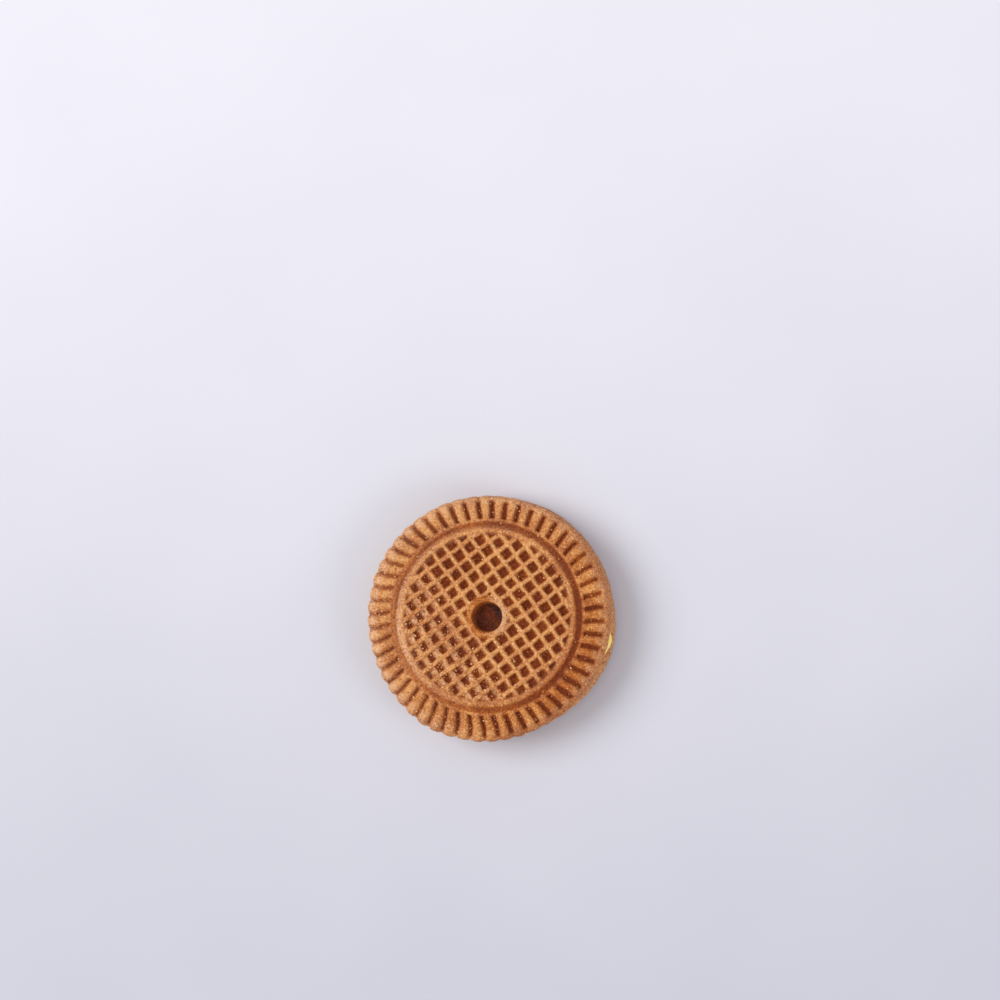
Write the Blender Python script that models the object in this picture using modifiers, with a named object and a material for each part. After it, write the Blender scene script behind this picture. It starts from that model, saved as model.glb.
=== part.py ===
"""Pumpkin sandwich cookie: two moulded biscuits with a layer of cream between them.

Metres, +Z up. The cookie lies flat: its underside is at z = 0, and the Z axis runs
through the middle of the round well in each biscuit.
"""

import math

import bmesh
import bpy
import numpy as np
from mathutils import Vector, noise

MM = 0.001

# Driving dimensions of the whole cookie
RADIUS = 28.6 * MM            # outermost rib of a biscuit, where it is round
BISCUIT_HEIGHT = 4.5 * MM
CREAM_SPACE = 3.0 * MM        # between the inner faces of the two biscuits
FACE_GAP = 0.3 * MM           # left between the cream and each biscuit

# Side of a biscuit from the shoulder to the foot: how far in from RADIUS, share of its height
SIDE = ((0.6 * MM, 0.84), (0.0, 0.5), (0.15 * MM, 0.16), (1.0 * MM, 0.0))

# Neither biscuit is quite round: angle in degrees, and by how many mm its edge stands out there
TOP_OUT_OF_ROUND = (
    (-165, -0.12), (-143, 0.12), (-122, 0.75), (-106, 0.25), (-92, 0.2), (-65, -0.35),
    (0, 0.0), (90, -0.35), (155, 0.05),
)
UNDER_OUT_OF_ROUND = (
    (-60, -0.6), (-8, -0.6), (18, 0.15), (38, -0.2), (60, -0.85), (90, -0.8), (180, -0.75),
)
SHOULDER_SHARE = 0.3          # share of it that reaches in to the ribs' shoulder
EDGE_WANDER = 0.18 * MM       # the edge also wanders in and out by this much

# Ribbed border
RIBS = 52
STEPS_PER_RIB = 4             # valley, flank, crown, flank
RIB_PHASE = math.radians(-6.1)
RIB_INNER = 22.6 * MM
RIB_SHOULDER = 26.5 * MM      # where a rib turns down to the side
RIB_DEPTH = 0.85 * MM
RIB_LENGTHS = 0.25 * MM       # a rib's inner end lies up to this much further in or out
RIB_HEIGHTS = 0.12 * MM       # a rib's crown lies up to this much lower
CROWN_ROUNDING = 0.13 * MM    # flanks lie this much lower than the crown
FLANK_SPREAD = 0.03           # of a rib's pitch, widens the rib's top
VALLEY_AT_SIDE = 0.35         # share of the ribs' depth by which a valley sinks at the side
SIDE_FROM = 0.6               # share of the height above which it does so
FLUTE_DEPTH = 0.60 * MM       # of the scallops down the side
FLUTE_AT_SHOULDER = 0.5       # share of that depth at the shoulder
FLUTE_ON_FLANK = 0.25         # and on a rib's flanks

# Round channel between the ribs and the waffle field
CHANNEL_OUTER = 22.0 * MM
CHANNEL_INNER = 21.0 * MM
CHANNEL_DEPTH = 0.8 * MM
RIM_OUTER = 20.6 * MM

# Waffle field
FIELD_RADIUS = 19.5 * MM
COLLAR_RADIUS = 4.5 * MM      # plain ring round the well
PITCH = 3.08 * MM
GRID_ANGLE = math.radians(35.5)
GRID_SHIFT = (-0.12 * MM, -0.08 * MM)   # of the grid's middle pit from the well's axis
PIT_WIDTH = 2.0 * MM          # at the top
PIT_FLOOR = 1.35 * MM
PIT_DEPTH = 0.95 * MM
LEAST_PIT = 0.4               # share of a pit that must lie in the field
SMEAR_FROM = 3.0 * MM         # the grid is blurred from here, towards the smeared side
SMEAR_FULL = 12.0 * MM
SMEAR_SHARE = 0.25            # of a pit's depth lost there

# Well in the middle
WELL_RADIUS = 3.55 * MM
WELL_FLOOR_RADIUS = 3.05 * MM
WELL_DEPTH = 3.2 * MM
WELL_SIDES = 28

# Cream
CREAM_RADIUS = 27.5 * MM
CREAM_STEPS = 90
CREAM_WANDER = 0.3 * MM       # in and out along the edge
CREAM_WAVES = 3.0             # how quickly it does so
CREAM_SEED = 4.7

# Where it is squeezed out: angle and spread in degrees, by how many mm
BULGES = ((-10.5, 5.0, 0.95), (112.0, 14.0, 0.5), (205.0, 40.0, 0.5))

# Edge of the cream from its top down: how far in from CREAM_RADIUS, share of its height
CREAM_EDGE = ((0.7 * MM, 1.0), (0.1 * MM, 0.8), (0.0, 0.5), (0.1 * MM, 0.2), (0.7 * MM, 0.0))

# Direction in which each biscuit's grid is blurred, and how the lower one lies under the upper
TOP_SMEAR = math.radians(-148.0)
UNDER_SMEAR = math.radians(40.0)
UNDER_TURN = math.radians(3.0)
UNDER_SHIFT = (0.35 * MM, 0.30 * MM)
TOP_SEED = 5
UNDER_SEED = 11

OVERCUT = 0.4 * MM            # by which a cutter stands proud of the face
MERGE = 0.00001
NEAR = 0.1 * MM               # heights or radii this close count as the same
SHARP_FROM = math.radians(32.0)

BISCUIT_COLOUR = (0.56, 0.255, 0.085, 1.0)
BISCUIT_UNDER_COLOUR = (0.53, 0.235, 0.08, 1.0)
BISCUIT_ROUGHNESS = 0.75
CREAM_COLOUR = (0.93, 0.74, 0.30, 1.0)
CREAM_ROUGHNESS = 0.5


def clear_scene():
    for item in list(bpy.data.objects):
        bpy.data.objects.remove(item, do_unlink=True)


def new_collection(name):
    collection = bpy.data.collections.new(name)
    bpy.context.scene.collection.children.link(collection)
    return collection


def new_material(name, colour, roughness):
    material = bpy.data.materials.new(name)
    material.use_nodes = True
    shader = material.node_tree.nodes["Principled BSDF"]
    shader.inputs["Base Color"].default_value = colour
    shader.inputs["Roughness"].default_value = roughness
    shader.inputs["Metallic"].default_value = 0.0
    material.diffuse_color = colour
    return material


def turned(name, profile, steps, collection):
    """A mesh turned about Z from a profile that runs from its top to its underside."""
    mesh = bpy.data.meshes.new(name)
    edges = [(i, i + 1) for i in range(len(profile) - 1)]
    mesh.from_pydata([(r, 0.0, z) for r, z in profile], edges, [])
    shape = bpy.data.objects.new(name, mesh)
    collection.objects.link(shape)
    screw = shape.modifiers.new("turn", "SCREW")
    screw.axis = "Z"
    screw.angle = math.tau
    screw.steps = steps
    screw.render_steps = steps
    screw.use_merge_vertices = True
    screw.merge_threshold = MERGE
    return shape


def bake(shape):
    """Replace the object's mesh by the result of its modifiers."""
    bpy.context.view_layer.update()
    evaluated = shape.evaluated_get(bpy.context.evaluated_depsgraph_get())
    mesh = bpy.data.meshes.new_from_object(evaluated)
    shape.modifiers.clear()
    shape.data = mesh
    return shape


def close_ends(shape):
    """Close a turned mesh that is open at the top and the underside with flat faces."""
    mesh = bmesh.new()
    mesh.from_mesh(shape.data)
    rims = [edge for edge in mesh.edges if edge.is_boundary]
    bmesh.ops.holes_fill(mesh, edges=rims)
    bmesh.ops.recalc_face_normals(mesh, faces=mesh.faces)
    mesh.to_mesh(shape.data)
    mesh.free()


def wander(angle, seed, waves=1.6):
    """Smooth noise round the edge, the same at 0 and 360 degrees, about -1 to 1."""
    place = Vector((waves * math.cos(angle), waves * math.sin(angle), seed))
    return 1.6 * noise.noise(place)


def rib_step(angle):
    """Which of a rib's steps an angle falls on, and the rib's number."""
    pitch = math.tau / RIBS
    turns = (angle - RIB_PHASE) / pitch + 0.5
    step = round((turns % 1.0) * STEPS_PER_RIB) % STEPS_PER_RIB
    return step, math.floor(turns + 0.5 / STEPS_PER_RIB) % RIBS


def edge_out(angle, out_of_round):
    """How far a biscuit's edge stands out at an angle."""
    places, values = zip(*out_of_round)
    return float(np.interp(math.degrees(angle), places, values, period=360.0)) * MM


def shape_ribs(shape, seed, out_of_round):
    """Push the turned edge into ribs: valleys sink and draw in, flanks round off."""
    pitch = math.tau / RIBS
    rng = np.random.default_rng(seed)
    length = rng.uniform(-RIB_LENGTHS, RIB_LENGTHS, RIBS)
    height = rng.uniform(0.0, RIB_HEIGHTS, RIBS)
    for vertex in shape.data.vertices:
        x, y, z = vertex.co
        radius = math.hypot(x, y)
        angle = math.atan2(y, x)
        if radius < RIB_INNER - NEAR:
            continue
        step, rib = rib_step(angle)
        on_top = z > BISCUIT_HEIGHT - NEAR
        at_inner_end = radius < RIB_INNER + NEAR
        if at_inner_end:
            radius += length[rib]
        else:
            radius += EDGE_WANDER * (wander(angle, seed) - 0.5)
            radius += edge_out(angle, out_of_round) * (SHOULDER_SHARE if on_top else 1.0)
        if step == 0:
            at_side = VALLEY_AT_SIDE * (z > SIDE_FROM * BISCUIT_HEIGHT)
            z -= RIB_DEPTH * (1.0 if on_top else at_side)
            if not at_inner_end:
                radius -= FLUTE_DEPTH * (FLUTE_AT_SHOULDER if on_top else 1.0)
        elif on_top:
            z -= height[rib] + (CROWN_ROUNDING if step != 2 else 0.0)
        if step in (1, 3):
            angle += (step - 2) * FLANK_SPREAD * pitch
            if not on_top and z > NEAR:
                radius -= FLUTE_ON_FLANK * FLUTE_DEPTH
        vertex.co = (radius * math.cos(angle), radius * math.sin(angle), z)


def smear(point, side):
    """How blurred the grid is at a point, from 0 to 1."""
    away = point[0] * math.cos(side) + point[1] * math.sin(side)
    return min(max((away - SMEAR_FROM) / (SMEAR_FULL - SMEAR_FROM), 0.0), 1.0)


def waffle_pits(name, smeared, cutters):
    """Four-sided tapered pits on a square grid, trimmed to the waffle field."""
    field = turned(
        name + "_field",
        [
            (COLLAR_RADIUS, BISCUIT_HEIGHT + 2 * OVERCUT),
            (FIELD_RADIUS, BISCUIT_HEIGHT + 2 * OVERCUT),
            (FIELD_RADIUS, BISCUIT_HEIGHT - 2 * PIT_DEPTH),
            (COLLAR_RADIUS, BISCUIT_HEIGHT - 2 * PIT_DEPTH),
            (COLLAR_RADIUS, BISCUIT_HEIGHT + 2 * OVERCUT),
        ],
        2 * RIBS,
        cutters,
    )
    mesh = bmesh.new()
    slope = (PIT_WIDTH - PIT_FLOOR) / PIT_DEPTH
    corner = math.sqrt(0.5)
    reach = int(FIELD_RADIUS / PITCH) + 2
    for i in range(-reach, reach + 1):
        for j in range(-reach, reach + 1):
            if share_in_field(i, j) < LEAST_PIT:
                continue
            depth = PIT_DEPTH * (1 - SMEAR_SHARE * smear(grid_point(i, j), smeared))
            made = bmesh.ops.create_cone(
                mesh,
                cap_ends=True,
                segments=4,
                radius1=(PIT_WIDTH - slope * depth) * corner,
                radius2=(PIT_WIDTH + slope * OVERCUT) * corner,
                depth=depth + OVERCUT,
            )
            rotate_and_place(made["verts"], grid_point(i, j), depth)
    data = bpy.data.meshes.new(name)
    mesh.to_mesh(data)
    mesh.free()
    pits = bpy.data.objects.new(name, data)
    cutters.objects.link(pits)
    trim = pits.modifiers.new("trim", "BOOLEAN")
    trim.operation = "INTERSECT"
    trim.solver = "EXACT"
    trim.object = field
    return pits


def grid_point(i, j):
    """Centre of a pit on the slanted grid, whose middle lies close to the well's."""
    u = i * PITCH + GRID_SHIFT[0]
    v = j * PITCH + GRID_SHIFT[1]
    x = u * math.cos(GRID_ANGLE) - v * math.sin(GRID_ANGLE)
    y = u * math.sin(GRID_ANGLE) + v * math.cos(GRID_ANGLE)
    return x, y


def share_in_field(i, j, samples=9):
    """Share of a pit's opening that lies between the collar and the field's edge."""
    offsets = np.linspace(-0.5, 0.5, samples) * PIT_WIDTH / PITCH
    inside = 0
    for u in offsets:
        for v in offsets:
            x, y = grid_point(i + u, j + v)
            inside += COLLAR_RADIUS < math.hypot(x, y) < FIELD_RADIUS
    return inside / samples**2


def rotate_and_place(verts, place, depth):
    """Turn a four-sided pit square to the grid and set it at its place in the face."""
    x, y = place
    middle = BISCUIT_HEIGHT + (OVERCUT - depth) / 2
    turn = GRID_ANGLE + math.pi / 4
    for vertex in verts:
        px, py, pz = vertex.co
        vertex.co = (
            x + px * math.cos(turn) - py * math.sin(turn),
            y + px * math.sin(turn) + py * math.cos(turn),
            middle + pz,
        )


def well(name, cutters):
    """Tapered cutter for the round well in the middle."""
    slope = (WELL_RADIUS - WELL_FLOOR_RADIUS) / WELL_DEPTH
    bpy.ops.mesh.primitive_cone_add(
        vertices=WELL_SIDES,
        radius1=WELL_FLOOR_RADIUS,
        radius2=WELL_RADIUS + slope * OVERCUT,
        depth=WELL_DEPTH + OVERCUT,
        location=(0.0, 0.0, BISCUIT_HEIGHT + (OVERCUT - WELL_DEPTH) / 2),
    )
    cutter = bpy.context.object
    cutter.name = name
    for owner in list(cutter.users_collection):
        owner.objects.unlink(cutter)
    cutters.objects.link(cutter)
    return cutter


def cut(shape, cutter):
    difference = shape.modifiers.new("cut_" + cutter.name, "BOOLEAN")
    difference.operation = "DIFFERENCE"
    difference.solver = "EXACT"
    difference.object = cutter


def biscuit(name, material, seed, out_of_round, smeared, parts, cutters):
    """One moulded biscuit: inner face at z = 0, patterned face up."""
    top = BISCUIT_HEIGHT
    profile = [
        (RIM_OUTER, top),
        (CHANNEL_INNER, top - CHANNEL_DEPTH),
        (CHANNEL_OUTER, top - CHANNEL_DEPTH),
        (RIB_INNER, top),
        (RIB_SHOULDER, top),
    ]
    profile += [(RADIUS - inside, share * top) for inside, share in SIDE]
    body = turned(name, profile, RIBS * STEPS_PER_RIB, parts)
    bake(body)
    turn_to_phase(body)
    close_ends(body)
    shape_ribs(body, seed, out_of_round)
    cut(body, waffle_pits(name + "_pits", smeared, cutters))
    cut(body, well(name + "_well", cutters))
    bake(body)
    finish(body, material)
    return body


def turn_to_phase(shape):
    """Turn the mesh so that its first row of vertices lies on a rib's crown."""
    for vertex in shape.data.vertices:
        x, y, z = vertex.co
        vertex.co = (
            x * math.cos(RIB_PHASE) - y * math.sin(RIB_PHASE),
            x * math.sin(RIB_PHASE) + y * math.cos(RIB_PHASE),
            z,
        )


def swell(angle):
    """How far the cream is squeezed out at an angle."""
    total = 0.0
    for centre, spread, size in BULGES:
        away = math.remainder(angle - math.radians(centre), math.tau)
        total += size * math.exp(-((away / math.radians(spread)) ** 2))
    return total * MM


def cream_layer(name, material, parts):
    """Soft round layer whose edge wanders and swells where it is squeezed out."""
    height = CREAM_SPACE - 2 * FACE_GAP
    edge = [(CREAM_RADIUS - inside, share * height) for inside, share in CREAM_EDGE]
    layer = turned(name, [(0.0, height), *edge, (0.0, 0.0)], CREAM_STEPS, parts)
    bake(layer)
    for vertex in layer.data.vertices:
        x, y, z = vertex.co
        angle = math.atan2(y, x)
        radius = math.hypot(x, y)
        if radius > NEAR:
            radius += CREAM_WANDER * wander(angle, CREAM_SEED, CREAM_WAVES)
            radius += swell(angle)
        vertex.co = (radius * math.cos(angle), radius * math.sin(angle), z)
    finish(layer, material)
    return layer


def finish(shape, material):
    shape.data.materials.clear()
    shape.data.materials.append(material)
    shape.data.shade_smooth()
    shape.data.set_sharp_from_angle(angle=SHARP_FROM)


def main():
    clear_scene()
    parts = new_collection("pumpkin_sandwich_cookie")
    cutters = new_collection("cutters")

    baked = new_material("baked_biscuit", BISCUIT_COLOUR, BISCUIT_ROUGHNESS)
    baked_under = new_material("baked_biscuit_under", BISCUIT_UNDER_COLOUR, BISCUIT_ROUGHNESS)
    pumpkin_cream = new_material("pumpkin_cream", CREAM_COLOUR, CREAM_ROUGHNESS)

    under_form = (UNDER_SEED, UNDER_OUT_OF_ROUND, UNDER_SMEAR)
    lower = biscuit("biscuit_bottom", baked_under, *under_form, parts, cutters)
    lower.rotation_euler = (math.pi, 0.0, UNDER_TURN)
    lower.location = (*UNDER_SHIFT, BISCUIT_HEIGHT)

    layer = cream_layer("cream_filling", pumpkin_cream, parts)
    layer.location = (0.0, 0.0, BISCUIT_HEIGHT + FACE_GAP)

    top_form = (TOP_SEED, TOP_OUT_OF_ROUND, TOP_SMEAR)
    upper = biscuit("biscuit_top", baked, *top_form, parts, cutters)
    upper.location = (0.0, 0.0, BISCUIT_HEIGHT + CREAM_SPACE)

    for cutter in cutters.objects:
        cutter.hide_render = True
        cutter.display_type = "WIRE"


main()
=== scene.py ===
"""Looks of the pumpkin sandwich cookie: baked biscuits, cream, crumbs, sugar, light and camera.

Metres, +Z up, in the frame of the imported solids. Each biscuit is a dense mesh in its mould's
own place, inner face at z = 0 and patterned face up, and is then set where its solid is.
"""

import math
from dataclasses import dataclass

import bmesh
import bpy
import numpy as np
from mathutils import Matrix, Vector, geometry, noise


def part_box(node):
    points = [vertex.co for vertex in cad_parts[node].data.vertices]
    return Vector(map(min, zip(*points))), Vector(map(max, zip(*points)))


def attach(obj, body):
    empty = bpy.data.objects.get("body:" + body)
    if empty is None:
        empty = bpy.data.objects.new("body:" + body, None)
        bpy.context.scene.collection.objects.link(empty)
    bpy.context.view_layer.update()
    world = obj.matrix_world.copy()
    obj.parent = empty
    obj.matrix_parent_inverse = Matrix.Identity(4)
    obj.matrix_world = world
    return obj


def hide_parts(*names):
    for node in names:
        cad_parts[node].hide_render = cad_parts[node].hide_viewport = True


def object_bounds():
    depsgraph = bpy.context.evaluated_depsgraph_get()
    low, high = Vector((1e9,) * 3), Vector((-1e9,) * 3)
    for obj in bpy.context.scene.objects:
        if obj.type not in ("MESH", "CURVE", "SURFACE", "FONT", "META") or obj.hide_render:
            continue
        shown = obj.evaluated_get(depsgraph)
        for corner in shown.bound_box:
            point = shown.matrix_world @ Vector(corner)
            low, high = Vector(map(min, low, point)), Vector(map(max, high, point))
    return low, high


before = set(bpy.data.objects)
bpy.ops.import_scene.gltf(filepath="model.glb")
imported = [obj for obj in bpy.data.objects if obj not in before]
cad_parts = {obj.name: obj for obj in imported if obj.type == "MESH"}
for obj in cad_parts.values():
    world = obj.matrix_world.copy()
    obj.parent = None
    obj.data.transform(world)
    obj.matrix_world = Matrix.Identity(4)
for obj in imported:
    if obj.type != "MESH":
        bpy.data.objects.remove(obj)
CAD_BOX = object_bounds()

MM = 0.001

# Where the solids are
UPPER_LOW, UPPER_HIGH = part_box("biscuit_top")
LOWER_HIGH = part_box("biscuit_bottom")[1]
BISCUIT_HEIGHT = UPPER_HIGH.z - UPPER_LOW.z
UNDER_TURN = math.radians(3.0)
UNDER_SHIFT = (0.35 * MM, 0.30 * MM)   # of the lower biscuit's well from the upper one's

# Ribbed border
RIBS = 52
RIB_PHASE = math.radians(-6.1)
COLUMNS = 16 * RIBS
SHOULDER = 26.4 * MM           # a rib turns down to the side from here
FLUTE_DEPTH = 0.55 * MM        # of the scallops down the side
WIDEST = 29.20 * MM            # nothing reaches further out from the well's axis

# Border's outline from the rim of the waffle field to the foot: radius, drop below the face
BORDER = (
    (19.20, 0.05), (19.70, 0.05), (20.15, 0.00), (20.50, 0.08), (20.80, 0.42), (21.10, 0.76),
    (21.50, 0.84), (21.90, 0.76), (22.25, 0.44), (22.60, 0.14), (23.20, 0.02), (25.00, 0.02),
    (26.30, 0.14), (27.40, 0.58), (28.15, 1.36), (28.55, 2.30), (28.58, 3.10), (28.35, 3.90),
    (27.90, 4.35), (27.40, 4.50),
)
BORDER_STEP = 0.27 * MM
CHANNEL_MIDDLE = 21.5 * MM
CHANNEL_HALF = 0.80 * MM

# Waffle field
FIELD_RADIUS = 19.5 * MM
COLLAR_RADIUS = 4.5 * MM
PITCH = 3.08 * MM
GRID_ANGLE = math.radians(35.5)
GRID_SHIFT = (-0.12 * MM, -0.08 * MM)   # of its middle pit from the well's axis
WALL_TOP = (0.10 * MM, 0.18 * MM)   # half of a wall's width at its top, across U and across V
WALL_FOOT = (0.88 * MM, 0.98 * MM)
GENTLE_SIDE = 0.24 * MM        # by which a wall across U is wider on one side
STEEP_SIDE = 0.20 * MM         # by which a wall across V is narrower on one side
SMEARED_FOOT = 1.70 * MM       # of a blurred wall, on its gentle side
WALL_WANDER = ((0.11 * MM, 4.0 * MM), (0.10 * MM, 1.2 * MM))   # how far, over what length
CORNER_ROUNDING = 2.0          # the lower, the rounder the pits' corners
PIT_DEPTH = 1.15 * MM
LEAST_PIT = 0.22               # share of a pit that must lie in the field
WHOLE_PIT = 0.80               # a pit of a smaller share is shallower
SHALLOW = (0.40, 0.80)         # depth of the smallest pits, at the collar and at the edge
SMEAR_FROM = 3.0 * MM          # the waffle is blurred from here, towards the smeared side
SMEAR_FULL = 12.0 * MM
STEPS_FROM_WALL = (0.0, 0.14, 0.26, 0.38, 0.50, 0.62, 0.74, 0.88, 1.15)   # mm
GRID_OUTER = 19.0 * MM         # the square mesh lies between these two radii
GRID_INNER = 5.05 * MM

# Well and collar, from the well's floor outwards: radius, drop below the face
WELL = (
    (0.50, 3.22), (1.60, 3.18), (2.20, 3.22), (2.70, 3.20), (3.02, 3.05), (3.18, 2.70),
    (3.28, 2.10), (3.38, 1.50), (3.46, 0.90), (3.54, 0.45), (3.62, 0.24), (3.75, 0.10),
    (3.95, 0.03), (4.20, 0.00), (4.50, 0.00), (4.80, 0.02),
)
WELL_COLUMNS = 160
WELL_STEP = 0.16 * MM
WELL_FLOOR = 3.02 * MM         # radius of its floor
WELL_SHADED_AT = math.radians(40.0)   # the side of its floor with painted shadow

# Cream
CREAM_COLUMNS = 720
CREAM_WANDER = 0.3 * MM
CREAM_LAP = 0.05 * MM          # by which it laps into the biscuits
CREAM_STEP = 0.2 * MM

# Where the cream is squeezed out: angle and spread in degrees, by how many mm
BULGES = ((-11.5, 5.0, 0.90), (112.0, 14.0, 0.5), (205.0, 40.0, 0.5))

# Camera: the middle of the well lies on this pixel of the picture
IMAGE_SIZE = 1000
WELL_PIXEL = (486.8, 616.9)
PIXELS_PER_MM = 4.34
LENS = 150.0
SENSOR = 36.0
VIEW_TILT = math.radians(10.3)
VIEW_SIDE = math.radians(-22.8)
LIGHTS_AIM = Vector((0.0, 0.0, 6.0 * MM))

# Colours
CREST = (0.74, 0.328, 0.094, 1.0)
# darker crest colour of the lower biscuit: painted shade
UNDER_CREST_SHADED = (0.60, 0.265, 0.065, 1.0)
FLANK = (0.47, 0.130, 0.021, 1.0)
PIT = (0.215, 0.041, 0.009, 1.0)
# darkest colour: the well's burnt floor and its painted shadow
BURNT_AND_SHADED = (0.075, 0.030, 0.023, 1.0)
TONE_LOW = (0.68, 0.56, 0.46, 1.0)     # fine unevenness of the baked colours, times them
TONE_HIGH = (1.20, 1.29, 1.40, 1.0)
PORE_COLOUR = (0.12, 0.030, 0.010, 1.0)
PAINTED_GLINT_COLOUR = (0.95, 0.66, 0.40, 1.0)
DUST_AND_SHEEN_COLOUR = (0.82, 0.50, 0.29, 1.0)
CRUMB_PALE = (0.72, 0.36, 0.13, 1.0)
CRUMB_DARK = (0.30, 0.08, 0.025, 1.0)
SUGAR_AMBER = (0.80, 0.42, 0.15, 1.0)
SUGAR_PALE = (0.98, 0.72, 0.42, 1.0)
CREAM_DEEP = (1.00, 0.68, 0.14, 1.0)
CREAM_PALE = (1.00, 0.80, 0.28, 1.0)
FLOOR_NEAR = (0.52, 0.52, 0.59, 1.0)
FLOOR_FAR = (0.72, 0.71, 0.775, 1.0)
FLOOR_HALF = 1.5


@dataclass
class Stretch:
    """How the border looks at one place round the biscuit."""

    angle: float   # in degrees, from +X towards +Y
    groove: float   # share of the ribs' pitch that is groove, at half its depth
    flank: float   # half of the groove's sloping flank, of the ribs' pitch
    depth: float   # of the groove, in mm
    brown: float   # how dark the groove is, baked browner and painted shade
    start: float   # radius of the groove's inner end, in mm
    end: float   # of its outer end, in mm
    lean: float   # turn of a rib's inner end from its outer end, in degrees
    flute: float   # share of the scallops' full depth
    filled: float   # share of the channel's depth that is filled
    channel: float   # how dark the channel is: baked browner, and painted shade on the side away from the light
    foot: float   # how deep a fine line at the ribs' foot is, and how dark its painted shade
    dust_and_sheen: float   # flour and painted sheen in the channel
    groove_paling: float   # how pale the grooves are
    pale: float   # how pale the ribs are: flour, and painted light on the side towards the lamp
    painted_shoulder_light: float   # how much light is painted on the shoulder, as paleness
    rim: float   # how dark the field's rim is


BORDER_VARIES = (
    Stretch(-165, .30, .20, .75, .86, 22.6, 28.6, -1.4, .95, .70, .50, .6, 1.1, .20, .45, 1.0, .14),
    Stretch(-125, .30, .20, .80, .92, 22.6, 28.6, -1.2, 1.0, .45, .56, .5, .35, .10, .40, .50, .32),
    Stretch(-90, .40, .17, .95, 1.1, 22.4, 28.1, -1.8, .80, .15, .75, .4, .05, .00, .20, .15, .45),
    Stretch(-30, .42, .17, 1.0, 1.1, 22.2, 27.9, -0.9, .20, .00, 1.0, .1, .0, .00, .00, .45, .34),
    Stretch(30, .36, .18, .90, .95, 22.6, 27.6, -0.8, .15, .05, .95, .0, .1, .00, .15, .35, .28),
    Stretch(90, .42, .15, .95, 1.1, 22.4, 27.7, -0.6, .35, .20, .75, .3, .2, .00, .65, .35, .25),
    Stretch(150, .32, .19, .80, .86, 22.6, 28.5, -1.5, .80, .50, .72, .7, .4, .15, .55, .90, .11),
)
FOOT_LINE = 22.4 * MM
FOOT_LINE_HALF = 0.50 * MM
RIDGE_AT = math.radians(-147.0)   # a fine raised line at the channel's outer edge
RIDGE_SPREAD = math.radians(18.0)


@dataclass
class Mould:
    """What makes one biscuit differ from the other."""

    seed: int
    smeared: float             # angle of the side where the waffle is blurred, in degrees
    turned: float              # degrees by which the border's unevenness is turned
    out_of_round: tuple        # angles, and by how many mm the edge stands out there

    def at(self, angle, quality):
        """One of the border's qualities at angles in radians."""
        places = [stretch.angle for stretch in BORDER_VARIES]
        values = [getattr(stretch, quality) for stretch in BORDER_VARIES]
        return np.interp(np.degrees(angle) - self.turned, places, values, period=360.0)

    def edge_out(self, angle):
        """How far the edge stands out at angles in radians."""
        places, values = zip(*self.out_of_round)
        return np.interp(np.degrees(angle), places, values, period=360.0) * MM


UPPER_MOULD = Mould(
    5, -148.0, 0.0,
    ((-165, -0.12), (-143, 0.12), (-122, 0.75), (-106, 0.25), (-92, 0.2), (-65, -0.35),
     (0, 0.0), (90, -0.35), (155, 0.05)),
)
LOWER_MOULD = Mould(
    11, 40.0, -60.0,
    ((-60, -0.6), (-8, -0.6), (18, 0.15), (38, -0.2), (60, -0.85), (90, -0.8), (180, -0.75)),
)


# ---- numbers over arrays


def rise(value, start, end):
    """0 before start, 1 after end, and a smooth rise between them."""
    share = np.clip((value - start) / (end - start), 0.0, 1.0)
    return share * share * (3.0 - 2.0 * share)


def mix(low, high, share):
    return low + (high - low) * share


def circle(angle):
    """Points of a unit circle at angles in radians."""
    return np.column_stack([np.cos(angle), np.sin(angle), np.zeros(len(angle))])


def push_out(points, by=0.0):
    """Move points away from the axis, but not past the widest place."""
    reach = np.hypot(points[..., 0], points[..., 1])
    points[..., :2] *= (np.minimum(reach + by, WIDEST) / reach)[..., None]


def grain(points, size, seed):
    """Smooth noise at each point, about -1 to 1, with bumps of the given size."""
    shift = Vector((3.71 * seed, 1.37 * seed, 7.93 * seed))
    values = [noise.noise(Vector(point) / size + shift) for point in points]
    return 1.6 * np.array(values)


def smooth_line(points, step):
    """Points along a smooth curve through the given ones, about a step apart."""
    fixed = np.array(points)
    before = np.vstack([2 * fixed[0] - fixed[1], fixed[:-1]])
    after = np.vstack([fixed[1:], 2 * fixed[-1] - fixed[-2]])
    slope = 0.5 * (after - before)
    line = []
    for i in range(len(fixed) - 1):
        count = max(1, round(float(np.linalg.norm(fixed[i + 1] - fixed[i])) / step))
        for t in np.arange(count) / count:
            near = (2 * t**3 - 3 * t**2 + 1) * fixed[i] + (t**3 - 2 * t**2 + t) * slope[i]
            far = (3 * t**2 - 2 * t**3) * fixed[i + 1] + (t**3 - t**2) * slope[i + 1]
            line.append(near + far)
    line.append(fixed[-1])
    return np.array(line)


def outward(line):
    """Unit vector at each point of an outline, square to it and away from the dough."""
    along = np.gradient(line, axis=0)
    along /= np.linalg.norm(along, axis=1)[:, None]
    return np.column_stack([along[:, 1], along[:, 0]])


# ---- meshes


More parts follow.
